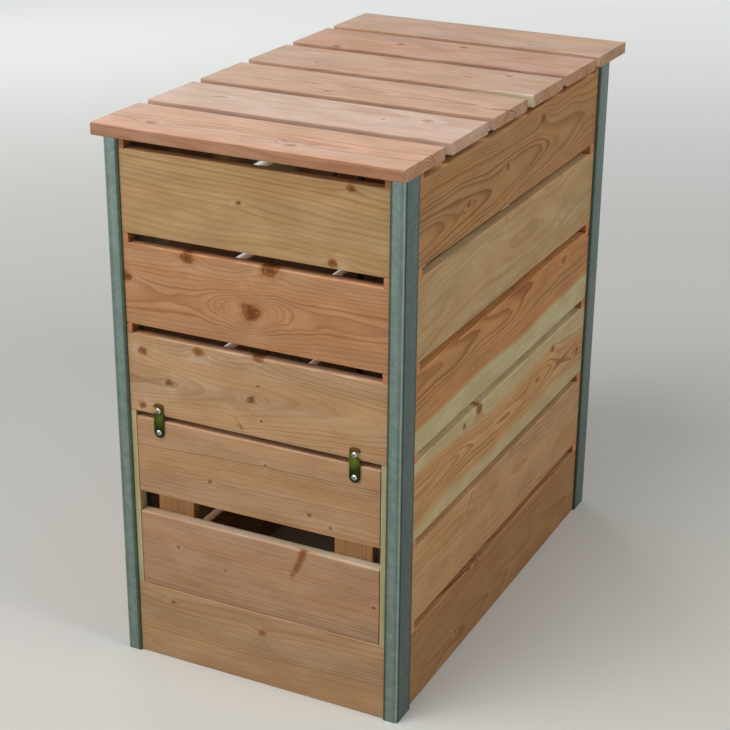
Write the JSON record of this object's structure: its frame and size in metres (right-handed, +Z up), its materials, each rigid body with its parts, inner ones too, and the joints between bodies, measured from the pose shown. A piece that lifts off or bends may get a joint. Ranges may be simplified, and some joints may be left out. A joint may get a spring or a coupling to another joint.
{
  "type": "compost bin",
  "caption": "Open-bottomed wooden compost bin: stacked boards with air gaps in folded steel corner posts, a loose slatted lid and a front flap held by hook latches.",
  "frame": {"origin": "on the ground, midway between the four posts", "axes": "+X to the right seen from the front, +Y to the back, +Z up; the wall with the flap faces -Y"},
  "size_m": [0.5882, 1.008, 1],
  "materials": {
    "larch_board": "rough-planed larch, bare, pinkish tan with orange streaks and dark knots",
    "larch_lid": "planed larch, bare, greyish pink tan",
    "larch_sapwood": "planed larch sapwood, bare, pale yellow",
    "larch_batten": "planed larch, bare, orange brown",
    "galvanised_steel": "galvanised sheet, satin grey green with a faint spangle",
    "yellow_zinc_steel": "yellow zinc plated, satin",
    "bright_zinc_steel": "bright zinc plated, half gloss"
  },
  "bodies": {
    "bin": {"post_front_left": "galvanised_steel", "post_front_right": "galvanised_steel", "post_back_left": "galvanised_steel", "post_back_right": "galvanised_steel", "front_board_1": "larch_board", "front_board_2": "larch_board", "front_board_3": "larch_board", "front_board_6": "larch_board", "back_board_1": "larch_board", "back_board_2": "larch_board", "back_board_3": "larch_board", "back_board_4": "larch_board", "back_board_5": "larch_board", "back_board_6": "larch_board", "left_board_1": "larch_board", "left_board_2": "larch_board", "left_board_3": "larch_board", "left_board_4": "larch_board", "left_board_5": "larch_board", "left_board_6": "larch_board", "right_board_1": "larch_board", "right_board_2": "larch_board", "right_board_3": "larch_board", "right_board_4": "larch_board", "right_board_5": "larch_board", "right_board_6": "larch_board", "front_spacers": "larch_batten", "back_spacers": "larch_batten", "left_spacers": "larch_batten", "right_spacers": "larch_batten", "front_post_screws": "bright_zinc_steel", "back_post_screws": "bright_zinc_steel", "left_post_screws": "bright_zinc_steel", "right_post_screws": "bright_zinc_steel", "flap_upright_left": "larch_sapwood", "flap_upright_right": "larch_sapwood", "latch_catch_screws": "bright_zinc_steel"},
    "lid": {"lid_board_1": "larch_lid", "lid_board_2": "larch_lid", "lid_board_3": "larch_lid", "lid_board_4": "larch_lid", "lid_board_5": "larch_lid", "lid_board_6": "larch_lid", "lid_batten_left": "larch_batten", "lid_batten_right": "larch_batten", "lid_screws": "bright_zinc_steel"},
    "flap": {"flap_board_upper": "larch_board", "flap_board_lower": "larch_board", "flap_batten_left": "larch_batten", "flap_batten_right": "larch_batten", "flap_screws": "bright_zinc_steel", "latch_pivot_screws": "bright_zinc_steel"},
    "left_latch": {"latch_left": "yellow_zinc_steel"},
    "right_latch": {"latch_right": "yellow_zinc_steel"}
  },
  "joints": [
    {"name": "lid_lift", "type": "slide", "parent": "bin", "child": "lid", "axis": [0, 0, 1], "range_m": [0, 0.4]},
    {"name": "flap_tilt", "type": "hinge", "parent": "bin", "child": "flap", "pos_m": [0, -0.4697, 0.1468], "axis": [1, 0, 0], "range_deg": [0, 90]},
    {"name": "left_latch_turn", "type": "hinge", "parent": "flap", "child": "left_latch", "pos_m": [-0.19, -0.4712, 0.4575], "axis": [0, 1, 0], "range_deg": [0, 90]},
    {"name": "right_latch_turn", "type": "hinge", "parent": "flap", "child": "right_latch", "pos_m": [0.19, -0.4712, 0.4575], "axis": [0, -1, 0], "range_deg": [0, 90]}
  ]
}
